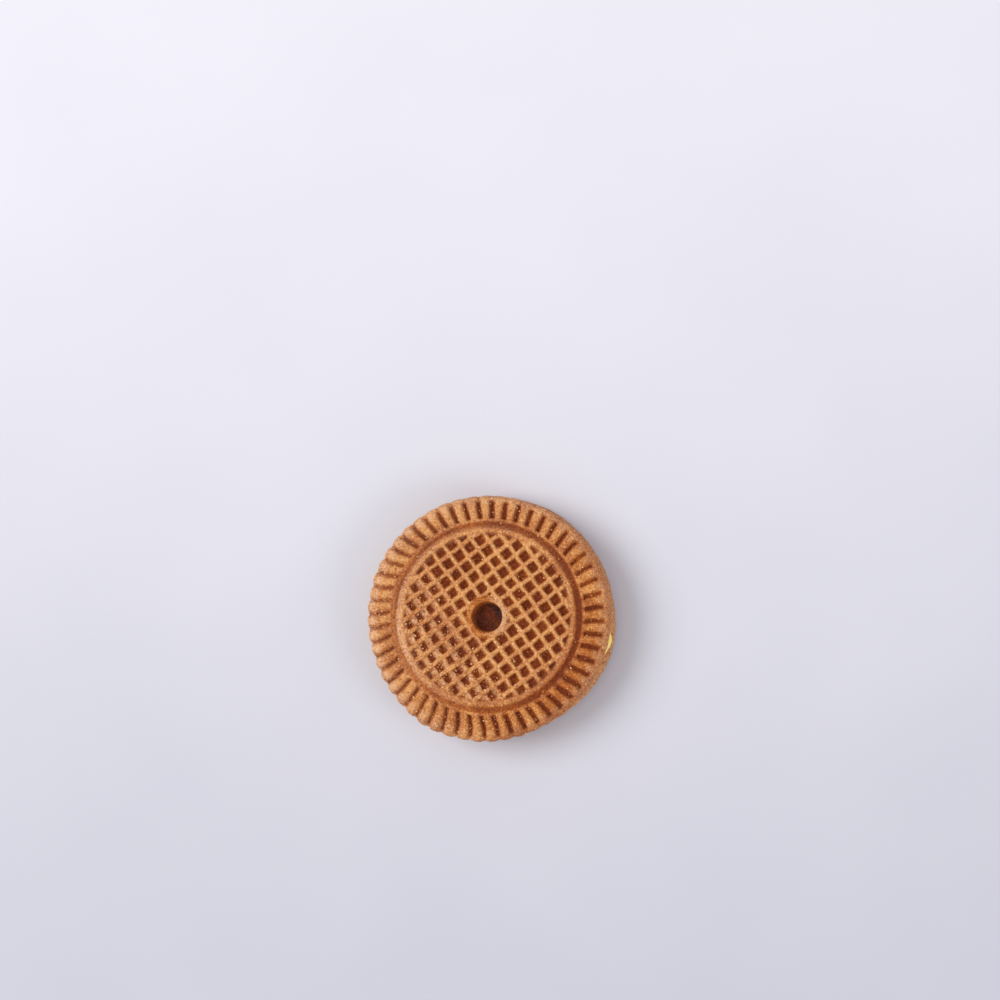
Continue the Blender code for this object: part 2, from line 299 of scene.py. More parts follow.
class Shell:
    """Points and faces gathered for one mesh, with two numbers at each point for its colour."""

    def __init__(self):
        self.points = []
        self.faces = []
        self.sunk = []             # how deep in a pit or groove, which is darker there: browner baking, and painted shade of the hollow
        self.dust_and_sheen = []             # how much flour lies there, with painted sheen and highlights added in

    def add_points(self, points, sunk, dust_and_sheen=0.0):
        first = len(self.points)
        self.points.extend(map(tuple, points))
        self.sunk.extend(np.broadcast_to(sunk, len(points)))
        self.dust_and_sheen.extend(np.broadcast_to(dust_and_sheen, len(points)))
        return first

    def add_ring_faces(self, first, rows, columns):
        """Faces between neighbouring rings of points, all with as many columns."""
        for row in range(rows - 1):
            near = first + row * columns
            far = near + columns
            for column in range(columns):
                after = (column + 1) % columns
                self.faces.append((near + column, far + column, far + after, near + after))

    def close_ring(self, first, columns, point, sunk):
        """A fan of triangles from a ring of points to one point in its middle."""
        middle = self.add_points([point], sunk)
        for column in range(columns):
            self.faces.append((first + column, first + (column + 1) % columns, middle))


def face_outwards(mesh):
    worked = bmesh.new()
    worked.from_mesh(mesh)
    bmesh.ops.recalc_face_normals(worked, faces=worked.faces)
    worked.to_mesh(mesh)
    worked.free()


def new_piece(name, shell, material, placing=Matrix.Identity(4)):
    """A smooth object from a gathered mesh, in its place, with outward faces."""
    mesh = bpy.data.meshes.new(name)
    mesh.from_pydata(shell.points, [], shell.faces)
    face_outwards(mesh)
    for label, values in (("sunk", shell.sunk), ("dust_and_sheen", shell.dust_and_sheen)):
        marked = mesh.attributes.new(label, "FLOAT", "POINT")
        marked.data.foreach_set("value", np.array(values, np.float32))
    mesh.transform(placing)
    mesh.materials.append(material)
    mesh.shade_smooth()
    piece = bpy.data.objects.new(name, mesh)
    bpy.context.scene.collection.objects.link(piece)
    return piece


# ---- waffle field


def grid_lines():
    """Places of the square mesh's lines, close together on the walls' flanks."""
    reach = math.ceil(GRID_OUTER / PITCH) + 1
    steps = np.array(STEPS_FROM_WALL) * MM
    lines = set()
    for wall in range(-reach, reach + 1):
        middle = (wall + 0.5) * PITCH
        lines.update(np.round(np.concatenate([middle - steps, middle + steps]), 9))
        lines.add(round(wall * PITCH, 9))
    return np.array(sorted(line for line in lines if abs(line) < GRID_OUTER))


def from_grid(u, v):
    """Place on the face of a point given along the waffle's two directions."""
    u = u + GRID_SHIFT[0]
    v = v + GRID_SHIFT[1]
    x = u * math.cos(GRID_ANGLE) - v * math.sin(GRID_ANGLE)
    y = u * math.sin(GRID_ANGLE) + v * math.cos(GRID_ANGLE)
    return x, y


def to_grid(x, y):
    u = x * math.cos(GRID_ANGLE) + y * math.sin(GRID_ANGLE)
    v = y * math.cos(GRID_ANGLE) - x * math.sin(GRID_ANGLE)
    return u - GRID_SHIFT[0], v - GRID_SHIFT[1]


def pit_shares(reach, samples=9):
    """Share of each pit that lies between the collar and the field's edge."""
    number = np.arange(-reach, reach + 1)
    offset = np.linspace(-0.5, 0.5, samples) * 2 * (PITCH / 2 - WALL_TOP[0])
    i, j, a, b = np.meshgrid(number, number, offset, offset, indexing="ij")
    radius = np.hypot(i * PITCH + a, j * PITCH + b)
    inside = (radius > COLLAR_RADIUS) & (radius < FIELD_RADIUS)
    return inside.mean(axis=(2, 3))


def smear(x, y, mould):
    """How blurred the waffle is at a place, from 0 to 1."""
    side = math.radians(mould.smeared)
    return rise(x * math.cos(side) + y * math.sin(side), SMEAR_FROM, SMEAR_FULL)


def waffle_walls(in_u, in_v, spread, blur, patchy):
    """Height of the walls across U and across V, 1 at their tops and 0 on a pit's floor.

    in_u and in_v are the way from the pit's middle. A blurred wall across U is low, steep on one
    side and gentle on the other.
    """
    low = 0.80 * blur * np.clip(0.6 + 0.7 * patchy, 0.0, 1.0)
    foot = WALL_FOOT[0] + GENTLE_SIDE * (in_u > 0)
    foot = mix(foot, SMEARED_FOOT, blur * (in_u > 0))
    wall_u = (1.0 - rise(PITCH / 2 - np.abs(in_u) + spread, WALL_TOP[0], foot)) * (1.0 - low)
    foot = WALL_FOOT[1] - STEEP_SIDE * (in_v > 0)
    top = WALL_TOP[1] * (1.0 + 0.4 * blur)
    wall_v = 1.0 - rise(PITCH / 2 - np.abs(in_v) + spread, top, foot)
    return wall_u, wall_v


def beyond_field(radius, patchy):
    """1 on the collar and past the field's edge, and 0 between them."""
    edge = rise(radius, FIELD_RADIUS - 0.25 * MM, FIELD_RADIUS + 0.20 * MM)
    ragged = radius + 0.22 * MM * patchy
    collar = 1.0 - rise(ragged, COLLAR_RADIUS - 0.05 * MM, COLLAR_RADIUS + 0.55 * MM)
    return np.maximum(edge, collar)


def waffle_drop(x, y, mould):
    """How far the waffle lies below the face, how brown it is there, and how much flour and painted
    sheen lie there.
    """
    flat = np.column_stack([x, y, np.zeros(len(x))])
    u, v = to_grid(x, y)
    for step, (far, length) in enumerate(WALL_WANDER):
        u = u + far * grain(flat, length, mould.seed + step)
        v = v + far * grain(flat, length, mould.seed + step + 2)
    radius = np.hypot(x, y)
    blur = smear(x, y, mould)
    patchy = grain(flat, 1.4 * MM, mould.seed + 4)

    # Each pit has its own depth and width, and one that the field's edge cuts is shallower
    reach = math.ceil(FIELD_RADIUS / PITCH) + 1
    i = np.clip(np.rint(u / PITCH).astype(int), -reach, reach) + reach
    j = np.clip(np.rint(v / PITCH).astype(int), -reach, reach) + reach
    rng = np.random.default_rng(mould.seed)
    size = 2 * reach + 1
    depth = PIT_DEPTH * rng.uniform(0.82, 1.06, (size, size))[i, j]
    spread = rng.uniform(-0.07, 0.07, (size, size))[i, j] * MM
    part = pit_shares(reach)[i, j]
    is_pit = part > LEAST_PIT
    shallow = mix(*SHALLOW, rise(radius, 6.0 * MM, 8.0 * MM))
    whole = mix(shallow, 1.0, rise(part, LEAST_PIT, WHOLE_PIT))

    in_u = u - (i - reach) * PITCH
    in_v = v - (j - reach) * PITCH
    wall_u, wall_v = waffle_walls(in_u, in_v, spread, blur, patchy)
    walls = wall_u**CORNER_ROUNDING + wall_v**CORNER_ROUNDING
    walls = np.clip(walls, 0.0, 1.0) ** (1.0 / CORNER_ROUNDING)
    walls = np.maximum(walls, beyond_field(radius, patchy))
    share = (1.0 - walls) * is_pit * (1.0 - 0.15 * blur)
    crumbly = 0.11 * MM * grain(flat, 0.55 * MM, mould.seed + 5)
    sag = 0.12 * MM * blur * np.clip(grain(flat, 2.5 * MM, mould.seed + 6) + 0.4, 0.0, 1.0)
    drop = depth * whole * share + sag + crumbly * share * (0.6 + blur)

    # Flour, and a painted sheen of the lit flank, lie on the gentle side of a blurred wall
    in_field = is_pit * (radius < FIELD_RADIUS)
    gentle = rise(in_u, 0.0, 0.7 * MM) + rise(-in_u, 1.10 * MM, 1.40 * MM)
    flour_and_sheen = blur * gentle * (1.0 - wall_v) * np.clip(0.75 + 0.6 * patchy, 0.0, 1.0) * in_field
    brown = share * mix(0.3, 1.0, whole) * (1.0 + 0.3 * blur) * (1.0 - 0.7 * flour_and_sheen)
    brown = np.maximum(brown, (0.17 + 0.05 * blur) * wall_v * in_field)
    return drop, brown, flour_and_sheen


def roughness(points, seed, share=1.0):
    """Fine unevenness of the baked dough."""
    lumps = 0.055 * MM * grain(points, 0.9 * MM, seed + 7)
    crumbs = 0.035 * MM * grain(points, 0.42 * MM, seed + 8)
    waves = 0.06 * MM * grain(points, 7.0 * MM, seed + 9)
    return (lumps + crumbs) * share + waves


# Each side of a cell: the cell beyond it in a mesh with a frame round it, its start and its end
CELL_SIDES = (
    ((0, 1), (0, 0), (0, 1)), ((2, 1), (1, 0), (1, 1)),
    ((1, 0), (0, 0), (1, 0)), ((1, 2), (0, 1), (1, 1)),
)


def add_waffle_grid(shell, mould):
    """The field's square mesh. Returns its border's edges, and a test for its cells."""
    lines = grid_lines()
    count = len(lines)
    u, v = np.meshgrid(lines, lines, indexing="ij")
    x, y = from_grid(u.ravel(), v.ravel())
    radius = np.hypot(x, y)
    usable = ((radius < GRID_OUTER) & (radius > GRID_INNER)).reshape(count, count)
    kept = usable[:-1, :-1] & usable[1:, :-1] & usable[:-1, 1:] & usable[1:, 1:]

    used = np.zeros((count, count), bool)
    for di, dj in ((0, 0), (1, 0), (0, 1), (1, 1)):
        used[di : count - 1 + di, dj : count - 1 + dj] |= kept
    number = np.full((count, count), -1)
    picked = used.ravel()
    x, y = x[picked], y[picked]
    drop, brown, flour_and_sheen = waffle_drop(x, y, mould)
    points = np.column_stack([x, y, BISCUIT_HEIGHT - drop])
    points[:, 2] += roughness(points, mould.seed, 1.0 + brown)
    # painted highlight: the walls' crests are paled where they are least brown
    dust_and_sheen = 0.85 * flour_and_sheen + 0.35 * (1.0 - brown) ** 2
    first = shell.add_points(points, brown, dust_and_sheen)
    number[used] = first + np.arange(picked.sum())

    for i, j in np.argwhere(kept):
        corners = (number[i, j], number[i + 1, j], number[i + 1, j + 1], number[i, j + 1])
        shell.faces.append(tuple(map(int, corners)))

    edges = []
    framed = np.pad(kept, 1)
    for i, j in np.argwhere(kept):
        for (next_i, next_j), (si, sj), (ei, ej) in CELL_SIDES:
            if not framed[i + next_i, j + next_j]:
                edges.append((number[i + si, j + sj], number[i + ei, j + ej]))

    def in_grid(px, py):
        pu, pv = to_grid(px, py)
        i = int(np.searchsorted(lines, pu)) - 1
        j = int(np.searchsorted(lines, pv)) - 1
        return 0 <= i < count - 1 and 0 <= j < count - 1 and bool(kept[i, j])

    return edges, in_grid


def bridge(shell, grid_edges, in_grid, rings):
    """Triangles between the square mesh and the rings of points inside and outside it."""
    edges = [tuple(map(int, edge)) for edge in grid_edges]
    for first, columns in rings:
        edges += [(first + k, first + (k + 1) % columns) for k in range(columns)]
    numbers = sorted({end for edge in edges for end in edge})
    place = {number: k for k, number in enumerate(numbers)}
    flat = [Vector(shell.points[number][:2]) / MM for number in numbers]
    links = [(place[a], place[b]) for a, b in edges]
    made = geometry.delaunay_2d_cdt(flat, links, [], 0, 1e-7)
    spots, triangles, origins = made[0], made[2], made[3]
    radii = [math.hypot(*shell.points[first][:2]) for first, _ in rings]
    for triangle in triangles:
        middle = sum((spots[k] for k in triangle), Vector((0.0, 0.0))) / 3 * MM
        if in_grid(middle.x, middle.y) or not min(radii) < middle.length < max(radii):
            continue
        shell.faces.append(tuple(numbers[origins[k][0]] for k in triangle))


# ---- border, well and underside


def rib_share(angle):
    """Where an angle lies across its rib, -0.5 to 0.5, and the rib's number."""
    turns = (angle - RIB_PHASE) * RIBS / math.tau + 0.5 + 1e-6
    rib = np.floor(turns).astype(int)
    return turns - rib - 0.5, rib % RIBS


def groove_section(across, groove_share, flank):
    """Depth of the groove between two ribs across them, 0 on a crest and 1 in the groove."""
    half_way = 0.5 - groove_share / 2
    return rise(np.abs(across), half_way - flank, half_way + flank)


class Border:
    """One biscuit's border: rows along its outline, from rim to foot, and columns round it."""

    def __init__(self, mould):
        self.mould = mould
        self.rng = np.random.default_rng(mould.seed + 30)
        self.angle = RIB_PHASE + np.arange(COLUMNS) * math.tau / COLUMNS
        self.across, self.rib = rib_share(self.angle)
        self.slow = grain(circle(self.angle), 0.45, mould.seed + 31)
        self.quick = grain(circle(self.angle), 0.12, mould.seed + 32)
        self.line = smooth_line(np.array(BORDER) * MM, BORDER_STEP)
        self.normal = outward(self.line)
        self.out = self.line[:, :1]
        steps = np.linalg.norm(np.diff(self.line, axis=0), axis=1)
        self.way = np.concatenate([[0.0], np.cumsum(steps)])[:, None]
        self.channel_end = self.way_to(CHANNEL_MIDDLE + CHANNEL_HALF)
        self.shoulder = self.way_to(SHOULDER)
        self.along = (self.way - self.channel_end) / (self.shoulder - self.channel_end)
        self.down_side = rise(self.way, self.shoulder + 0.2 * MM, self.shoulder + 2.2 * MM)
        self.mark_channel()
        self.mark_grooves()

    def its(self, quality):
        """One of the mould's qualities, in each column."""
        return self.mould.at(self.angle, quality)

    def uneven(self, most):
        """A random number of each rib, up to most either way, in each column."""
        return self.rng.uniform(-most, most, RIBS)[self.rib]

    def way_to(self, radius):
        """Way along the outline to where its upper side has a radius."""
        top = slice(0, int(np.argmax(self.out)) + 1)
        return np.interp(radius, self.line[top, 0], self.way[top, 0])

    def mark_channel(self):
        """Where the channel is, and the fine line at the ribs' foot with its painted shade."""
        on_top = self.way < self.shoulder
        self.in_channel = np.exp(-(((self.out - CHANNEL_MIDDLE) / CHANNEL_HALF) ** 4)) * on_top
        shaded_foot_line = np.exp(-(((self.out - FOOT_LINE) / FOOT_LINE_HALF) ** 2))
        self.shaded_foot_line = shaded_foot_line * on_top * self.its("foot")

    def mark_grooves(self):
        """Where the grooves are: a little narrower outwards, and blunt at both ends."""
        spots = np.stack([
            self.out * np.cos(self.angle), self.out * np.sin(self.angle),
            np.repeat(self.line[:, 1:], COLUMNS, axis=1),
        ], axis=-1)
        ragged = grain(spots.reshape(-1, 3), 1.0 * MM, self.mould.seed + 33)
        shift = self.uneven(0.03) + 0.045 * ragged.reshape(spots.shape[:2])
        shift = shift * (0.5 - np.abs(self.across)) * 2
        share = self.its("groove") + self.uneven(0.04)
        share = share * (1.0 - 0.12 * np.clip(self.along, 0.0, 1.5))
        self.groove = groove_section(self.across + shift, share, self.its("flank"))
        start = self.way_to(self.its("start") * MM)
        start = start + 0.15 * MM * self.quick + self.uneven(0.2) * MM
        end = self.way_to(self.its("end") * MM) + 0.2 * MM * self.slow + self.uneven(0.2) * MM
        window = rise(self.way, start - 0.3 * MM, start + 0.3 * MM)
        self.window = window * (1.0 - rise(self.way, end - 0.5 * MM, end + 0.4 * MM))
        self.start = start

    def pressed(self):
        """Radius and drop of each point, with the ribs and the scallops pressed in."""
        deep = self.its("depth") * MM * (1.0 + 0.10 * self.slow + 0.10 * self.quick)
        low_crest = self.rng.uniform(0.0, 0.14, RIBS)[self.rib] * MM * (1.0 - self.groove)
        crown = (2 * self.across) ** 2 * mix(0.08, 0.55, self.its("flute")) * MM
        flute = np.abs(2 * self.across) ** 2.2 * FLUTE_DEPTH * self.its("flute")
        sink = self.window * (deep * self.groove + low_crest + crown)
        sink = np.maximum(sink, self.down_side * flute)
        sink = sink + 0.05 * MM * self.down_side * (1.0 - self.slow)
        outer = rise(self.way, self.shoulder - 0.8 * MM, self.shoulder + 1.4 * MM)
        out_of_round = self.mould.edge_out(self.angle) * outer
        radius = self.out - self.normal[:, :1] * sink + out_of_round
        return radius, self.line[:, 1:] + self.normal[:, 1:] * sink

    def shaped(self):
        """Points of the border, without the waffle and the fine unevenness."""
        radius, drop = self.pressed()

        # The channel is partly filled where the waffle is blurred, with a fine ridge at its edge.
        # The ridge counts a mould's turn in radians, so the lower biscuit has it elsewhere.
        drop = drop * (1.0 - self.its("filled") * self.in_channel)
        ridge = np.exp(-(((self.way - self.channel_end) / (0.14 * MM)) ** 2))
        away = self.angle - RIDGE_AT - self.mould.turned
        away = np.remainder(away + math.pi, math.tau) - math.pi
        drop = drop - 0.20 * MM * ridge * np.exp(-((away / RIDGE_SPREAD) ** 2))
        drop = drop + 0.20 * MM * self.shaded_foot_line

        lean = np.radians(self.its("lean")) * (1.0 + 0.4 * self.slow)
        turned = self.angle + lean * (0.5 - rise(self.along, 0.0, 1.0))
        x = radius * np.cos(turned)
        y = radius * np.sin(turned)
        return np.column_stack([x.ravel(), y.ravel(), BISCUIT_HEIGHT - drop.ravel()])

    def coloured(self):
        """How deep each point counts for its colour, and how much flour and painted light lie there.
        """
        way = self.way
        pale = self.its("pale") * rise(way, self.channel_end - 0.5 * MM, self.channel_end)
        on_rim = 1.0 - rise(way, 1.1 * MM, 1.5 * MM)
        sunk = self.window * self.groove * self.its("brown")
        sunk = np.maximum(sunk, self.in_channel * self.its("channel"))
        # painted shade along the ribs' foot
        sunk = np.maximum(sunk, 0.75 * self.shaded_foot_line)
        sunk = np.maximum(sunk, 0.65 * self.down_side * np.abs(2 * self.across) ** 3)
        plain = mix(mix(0.33, 0.04, pale), self.its("rim"), on_rim)
        sunk = np.maximum(sunk, plain + 0.12 * self.down_side)

        # painted highlight on the ribs' inner tips
        painted_tip_light = np.exp(-(((way - self.start - 0.1 * MM) / (0.35 * MM)) ** 2)) * (1.0 - self.groove)
        # painted light: the shoulder is paled as if lit
        painted_shoulder_light = self.its("painted_shoulder_light") * rise(way, self.shoulder - 1.2 * MM, self.shoulder + 0.8 * MM)
        band_end = self.channel_end - 1.0 * MM
        band = rise(way, 0.8 * MM, 1.4 * MM) * (1.0 - rise(way, band_end - 0.4 * MM, band_end))
        dust_and_sheen = self.its("dust_and_sheen") * (band + 0.2 * (on_rim + self.in_channel))
        dust_and_sheen = dust_and_sheen + 0.25 * on_rim + 0.25 * painted_tip_light * (1.0 - self.shaded_foot_line)
        on_rib = 1.0 - self.window * self.groove
        # painted light on the shoulder and on the ribs, as paleness
        dust_and_sheen = dust_and_sheen + (painted_shoulder_light + 0.5 * pale) * on_rib * (1.0 - 0.6 * self.shaded_foot_line)
        dust_and_sheen = dust_and_sheen + self.its("groove_paling") * self.window * self.groove
        return sunk.ravel(), dust_and_sheen.ravel()


def add_border(shell, mould):
    """Rim, channel, ribs, shoulder and side, from the field's edge to the foot."""
    border = Border(mould)
    points = border.shaped()
    sunk, dust_and_sheen = border.coloured()
    inner = slice(0, COLUMNS * int(np.sum(border.out < FIELD_RADIUS + 0.4 * MM)))
    waffle, brown, _ = waffle_drop(points[inner, 0], points[inner, 1], mould)
    points[inner, 2] -= waffle
    sunk[inner] = np.maximum(sunk[inner], brown)

    rough = roughness(points, mould.seed)
    side = np.repeat(border.normal, COLUMNS, axis=0)
    push_out(points, side[:, 0] * rough)
    points[:, 2] += side[:, 1] * rough
    first = shell.add_points(points, sunk, dust_and_sheen)
    shell.add_ring_faces(first, len(border.line), COLUMNS)
    shell.close_ring(first + len(points) - COLUMNS, COLUMNS, (0.0, 0.0, 0.0), 0.2)
    return first


def add_well(shell, mould):
    """Collar round the well, its wall and its rough floor."""
    line = smooth_line(np.array(WELL) * MM, WELL_STEP)
    angle = np.arange(WELL_COLUMNS) * math.tau / WELL_COLUMNS
    wobble = 1.0 + 0.012 * grain(circle(angle), 0.7, mould.seed + 40)
    radius = line[:, :1] * wobble
    x = (radius * np.cos(angle)).ravel()
    y = (radius * np.sin(angle)).ravel()
    drop = np.repeat(line[:, 1], WELL_COLUMNS)
    points = np.column_stack([x, y, BISCUIT_HEIGHT - drop])
    waffle, brown, _ = waffle_drop(x, y, mould)
    on_collar = drop < 0.05 * MM
    points[:, 2] -= waffle * on_collar
    depth = rise(drop, 0.10 * MM, 0.6 * MM)
    floor = rise(drop, 2.4 * MM, 3.1 * MM)
    rough = roughness(points, mould.seed)
    points[:, 2] += rough + 0.10 * MM * floor * grain(points, 0.8 * MM, mould.seed + 41)
    # painted shadow: the well's floor is darker towards one side, as if its wall shaded it
    shaded_side = (x * math.cos(WELL_SHADED_AT) + y * math.sin(WELL_SHADED_AT)) / WELL_FLOOR
    # painted light on the collar's +X side, where its rounding catches the light, and painted shade
    # on its other side
    lit_side = np.clip(0.05 + 0.95 * x / np.hypot(x, y), 0.0, 1.0)
    sunk = mix(mix(0.37, 0.18, lit_side), 0.60, depth)
    sunk = sunk + floor * (0.75 + 0.45 * rise(shaded_side, 0.3, 1.0))
    sunk = np.maximum(brown * on_collar, sunk)
    first = shell.add_points(points, sunk, lit_side * (1.0 - depth))
    shell.add_ring_faces(first, len(line), WELL_COLUMNS)
    shell.close_ring(first, WELL_COLUMNS, (0.0, 0.0, BISCUIT_HEIGHT - line[0, 1]), sunk[0])
    return first + (len(line) - 1) * WELL_COLUMNS


def biscuit(name, mould, material, placing):
    """One whole biscuit as a closed mesh, with the side that it stands for in the frame."""
    shell = Shell()
    collar_ring = add_well(shell, mould)
    rim_ring = add_border(shell, mould)
    edges, in_grid = add_waffle_grid(shell, mould)
    bridge(shell, edges, in_grid, ((collar_ring, WELL_COLUMNS), (rim_ring, COLUMNS)))
    keep_inside(shell)
    return new_piece(name, shell, material, placing)


def keep_inside(shell):
    """Nothing stands above the face or below the inner face."""
    heights = np.clip([z for _, _, z in shell.points], 0.0, BISCUIT_HEIGHT)
    shell.points = [(x, y, float(z)) for (x, y, _), z in zip(shell.points, heights)]


# ---- cream


def swell(angle):
    """How far the cream is squeezed out at angles in radians."""
    total = np.zeros(len(angle))
    for centre, spread, size in BULGES:
        away = np.remainder(np.degrees(angle) - centre + 180.0, 360.0) - 180.0
        total += size * np.exp(-((away / spread) ** 2))
    return total * MM


def cream_layer(name, material):
    """Soft round layer that fills the space between the biscuits to a wavy edge."""
    low = LOWER_HIGH.z
    high = UPPER_LOW.z
    height = high - low
    outline = smooth_line(
        np.array([
            (18.0 * MM, height + CREAM_LAP), (25.5 * MM, height + CREAM_LAP),
            (26.9 * MM, height + CREAM_LAP), (27.30 * MM, 0.88 * height),
            (27.50 * MM, 0.66 * height), (27.52 * MM, 0.36 * height),
            (27.35 * MM, 0.12 * height), (26.9 * MM, -CREAM_LAP),
            (25.5 * MM, -CREAM_LAP), (18.0 * MM, -CREAM_LAP),
        ]),
        CREAM_STEP,
    )
    angle = np.arange(CREAM_COLUMNS) * math.tau / CREAM_COLUMNS
    edge = CREAM_WANDER * grain(circle(angle), 0.33, 4.7) + swell(angle)
    at_edge = rise(outline[:, 0], 24.0 * MM, 27.0 * MM)[:, None]
    radius = outline[:, :1] + edge * at_edge
    z = low + np.repeat(outline[:, 1], CREAM_COLUMNS)
    points = np.column_stack([
        (radius * np.cos(angle)).ravel(), (radius * np.sin(angle)).ravel(), z
    ])
    stretched = points * (1.0, 1.0, 2.2)
    swirl = 0.12 * MM * grain(stretched, 1.6 * MM, 61) + 0.04 * MM * grain(points, 0.6 * MM, 62)
    swirl *= np.repeat(at_edge[:, 0], CREAM_COLUMNS)
    push_out(points, swirl)
    shell = Shell()
    first = shell.add_points(points, 0.0)
    shell.add_ring_faces(first, len(outline), CREAM_COLUMNS)
    last = first + (len(outline) - 1) * CREAM_COLUMNS
    shell.close_ring(first, CREAM_COLUMNS, (0.0, 0.0, high + CREAM_LAP), 0.0)
    shell.close_ring(last, CREAM_COLUMNS, (0.0, 0.0, low - CREAM_LAP), 0.0)
    return new_piece(name, shell, material)


# ---- crumbs and sugar


@dataclass
class Grains:
    """Small loose grains of one kind."""

    name: str
    seed: int
    count: int
    size: float         # the usual one, in mm
    spread: float       # of the sizes
    least: float        # size, in mm
    most: float
    level: int          # how many faces a grain has
    jitter: float       # how uneven a grain is


CRUMBS = Grains("crumbs", 71, 1100, 0.30, 0.35, 0.15, 0.65, 2, 0.22)
SUGAR = Grains("sugar_grains", 83, 250, 0.27, 0.45, 0.12, 0.60, 1, 0.35)


def pebble(level):
    """Points and triangles of a small ball, of 20 faces at level 1 and 80 at level 2."""
    ball = bmesh.new()
    bmesh.ops.create_icosphere(ball, subdivisions=level, radius=0.5)
    points = np.array([vertex.co[:] for vertex in ball.verts])
    faces = np.array([[vertex.index for vertex in face.verts] for face in ball.faces])
    ball.free()
    return points, faces


def random_turns(rng, count):
    """As many random rotations, as 3 x 3 matrices."""
    quarter = rng.normal(size=(count, 4))
    w, x, y, z = (quarter / np.linalg.norm(quarter, axis=1)[:, None]).T
    return np.array([
        [1 - 2 * (y * y + z * z), 2 * (x * y - z * w), 2 * (x * z + y * w)],
        [2 * (x * y + z * w), 1 - 2 * (x * x + z * z), 2 * (y * z - x * w)],
        [2 * (x * z - y * w), 2 * (y * z + x * w), 1 - 2 * (x * x + y * y)],
    ]).transpose(2, 0, 1)


def scattered(kind, spots, normals, sizes, material):
    """One mesh of many small uneven grains that lie on given spots of a surface."""
    rng = np.random.default_rng(kind.seed)
    ball, triangles = pebble(kind.level)
    count = len(spots)
    shapes = ball[None] * rng.uniform(0.65, 1.15, (count, 1, 3))
    shapes = shapes * (1.0 + kind.jitter * rng.uniform(-1.0, 1.0, (count, len(ball), 1)))
    shapes = np.einsum("nij,nkj->nki", random_turns(rng, count), shapes)
    centres = spots + normals * sizes[:, None] * 0.22
    points = centres[:, None] + shapes * sizes[:, None, None]
    push_out(points)
    points[..., 2] = np.clip(points[..., 2], 0.0, CAD_BOX[1].z)
    shell = Shell()
    shades = np.repeat(rng.uniform(0.0, 0.7, count), len(ball))
    shell.add_points(points.reshape(-1, 3), shades)
    numbers = triangles[None] + (np.arange(count) * len(ball))[:, None, None]
    shell.faces = [tuple(map(int, face)) for face in numbers.reshape(-1, 3)]
    return new_piece(kind.name, shell, material)


def surface_of(piece):
    """Points, normals and the colour number of a piece, as arrays."""
    mesh = piece.data
    sunk = np.empty(len(mesh.vertices), np.float32)
    points, normals = np.empty((2, len(sunk), 3), np.float32)
    mesh.vertices.foreach_get("co", points.ravel())
    mesh.vertices.foreach_get("normal", normals.ravel())
    mesh.attributes["sunk"].data.foreach_get("value", sunk)
    return points.astype(float), normals.astype(float), sunk


def crumbs_likely(points, up, sunk, radius, blur):
    """Crumbs lie in the pits and the grooves, more where the waffle is blurred."""
    likely = 0.10 + sunk * (0.5 + 2.5 * blur) + 0.6 * blur * (radius < FIELD_RADIUS)
    return likely * (up > 0.25) * (radius > 4.0 * MM) * (radius < 27.8 * MM)


def sugar_likely(points, up, sunk, radius, blur):
    """Sugar lies in clusters, mostly in the pits and on the ribs' flanks."""
    cluster = np.clip(0.3 + grain(points, 3.0 * MM, SUGAR.seed), 0.0, 1.0)
    cluster = cluster + blur * (radius < FIELD_RADIUS)
    return (0.10 + sunk) * cluster * (up > 0.1) * (radius > 4.2 * MM)


def strewn(kind, piece, mould, how_likely, material):
    """Grains of one kind on a piece, where they are likely, and seldom in the channel."""
    points, normals, sunk = surface_of(piece)
    radius = np.hypot(points[:, 0], points[:, 1])
    blur = smear(points[:, 0], points[:, 1], mould)
    likely = how_likely(points, normals[:, 2], sunk, radius, blur)
    likely = likely * (1.0 - 0.7 * (np.abs(radius - CHANNEL_MIDDLE) < 1.3 * MM))
    rng = np.random.default_rng(kind.seed)
    picked = rng.choice(len(points), kind.count, replace=False, p=likely / likely.sum())
    sizes = rng.lognormal(math.log(kind.size), kind.spread, kind.count)
    sizes = np.clip(sizes, kind.least, kind.most) * MM
    return scattered(kind, points[picked], normals[picked], sizes, material)


# ---- shader building blocks


def add_node(tree, kind, inputs=None, **settings):
    """A node with its settings, and with its inputs set to numbers or linked to sockets."""
    made = tree.nodes.new(kind)
    for name, value in settings.items():
        setattr(made, name, value)
    fill(tree, made, inputs or {})
    return made


def fill(tree, node, inputs):
    """Set a node's inputs to numbers or colours, or link them to sockets."""
    for name, value in inputs.items():
        if isinstance(value, bpy.types.NodeSocket):
            tree.links.new(value, node.inputs[name])
        else:
            node.inputs[name].default_value = value


def maths(tree, operation, first, second=0.0, clamp=False):
    inputs = {0: first, 1: second}
    made = add_node(tree, "ShaderNodeMath", inputs, operation=operation, use_clamp=clamp)
    return made.outputs[0]


def smooth_range(tree, value, low, high, to_low=0.0, to_high=1.0):
    inputs = {"Value": value, "From Min": low, "From Max": high, "To Min": to_low, "To Max": to_high}
    made = add_node(tree, "ShaderNodeMapRange", inputs, interpolation_type="SMOOTHSTEP")
    return made.outputs["Result"]


def blended(tree, share, first, second, how="MIX"):
    """Colour between two colours, or numbers that stand for them."""
    inputs = {0: share, 6: first, 7: second}
    made = add_node(tree, "ShaderNodeMix", inputs, data_type="RGBA", blend_type=how)
    return made.outputs[2]


def noise_at(tree, place, size, detail=3.0, rough=0.55):
    """Noise with blotches of a size in metres, from 0 to 1."""
    inputs = {"Vector": place, "Scale": 1.0 / size, "Detail": detail, "Roughness": rough}
    return add_node(tree, "ShaderNodeTexNoise", inputs).outputs["Fac"]


def object_place(tree):
    return add_node(tree, "ShaderNodeTexCoord").outputs["Object"]


